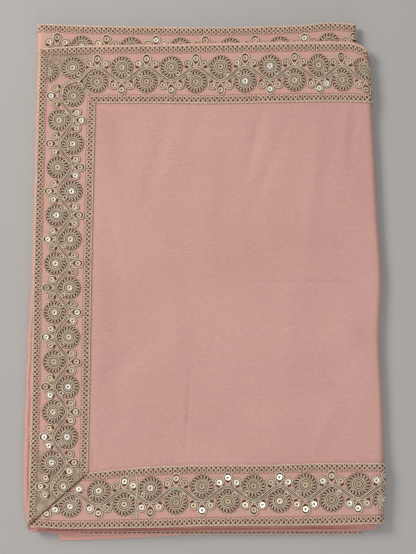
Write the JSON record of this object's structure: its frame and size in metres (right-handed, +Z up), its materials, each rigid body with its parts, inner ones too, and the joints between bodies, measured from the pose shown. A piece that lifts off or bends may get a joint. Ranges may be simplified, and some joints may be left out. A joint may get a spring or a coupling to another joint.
{
  "type": "folded dupatta stole with embroidered lace borders",
  "caption": "Stole folded flat into layers and laid face up, with a corded lace border on three sides and a soft rolled fold on the fourth.",
  "frame": {"origin": "middle of the folded stole, on the surface that it lies on", "axes": "+Z up, +Y towards the far long border, +X towards the rolled fold"},
  "size_m": [0.3642, 0.5382, 0.015],
  "materials": {
    "cloth": "fine ribbed weave with a soft silky sheen",
    "lace": "antique gold cord and sequins on peach net"
  },
  "bodies": {
    "root": {"top_layer": "cloth", "folded_layers": "cloth", "lace_far": "lace", "lace_near": "lace", "lace_left": "lace", "lace_back": "lace", "lace_under": "lace"}
  },
  "joints": []
}
